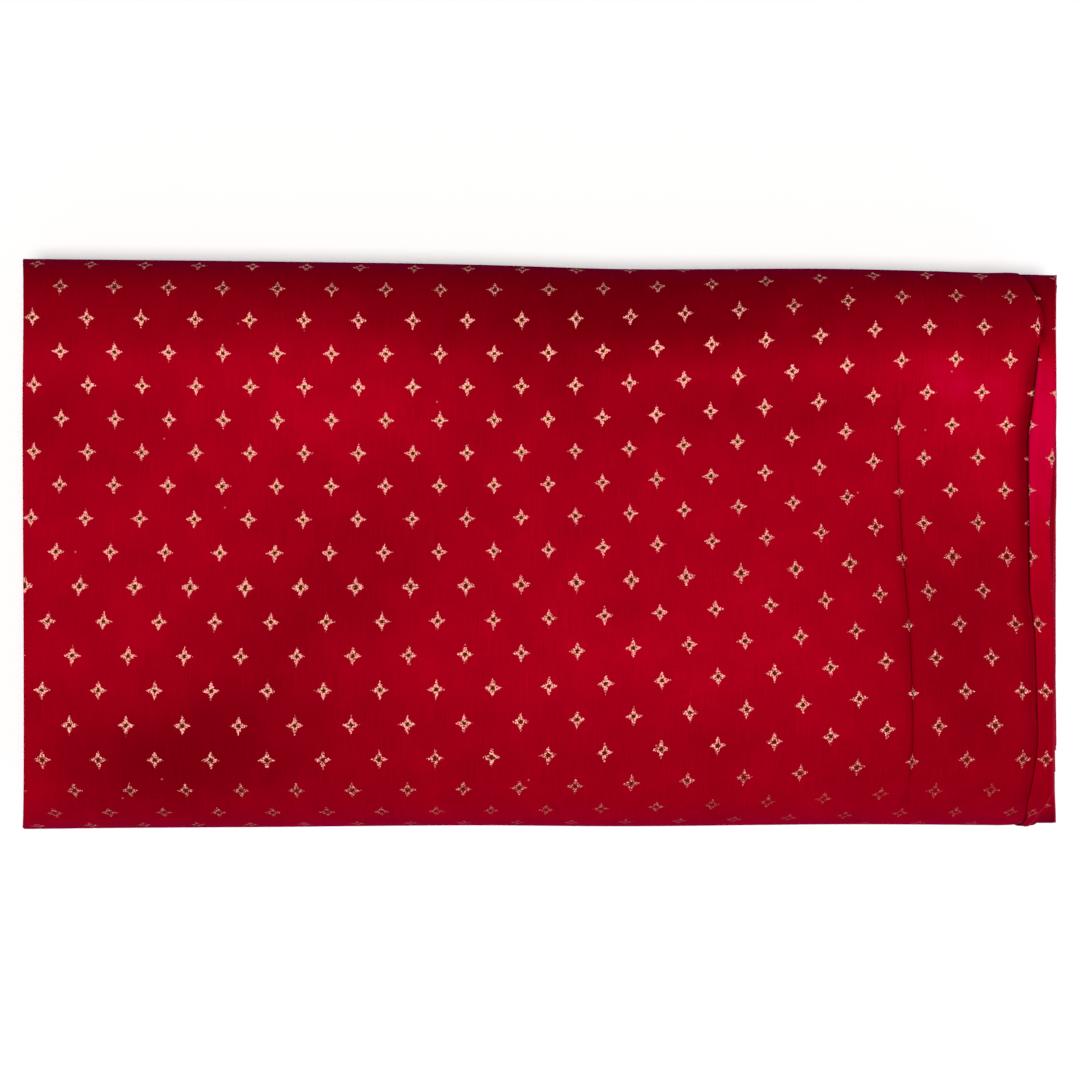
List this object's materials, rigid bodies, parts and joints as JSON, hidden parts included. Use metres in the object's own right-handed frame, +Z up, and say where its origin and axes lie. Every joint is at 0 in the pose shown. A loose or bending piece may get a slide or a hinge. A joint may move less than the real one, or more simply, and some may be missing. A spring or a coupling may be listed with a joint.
{
  "type": "flat-wound turban cloth",
  "caption": "Turban cloth (pagri) of crimson voile with small pale-gold stars, doubled along its length and wound flat into a soft pack that lies on a surface.",
  "frame": {"origin": "under the middle of the pack, on the surface it rests on", "axes": "+X along the pack, from the lengthwise fold towards the selvedges, +Y towards the back edge where the loose end lies, +Z up"},
  "size_m": [0.506, 0.2776, 0.0605],
  "materials": {
    "voile": "matt plain-woven cotton, printed with small pale-gold foil stars"
  },
  "bodies": {
    "root": {"turban_cloth": "voile"}
  },
  "joints": []
}
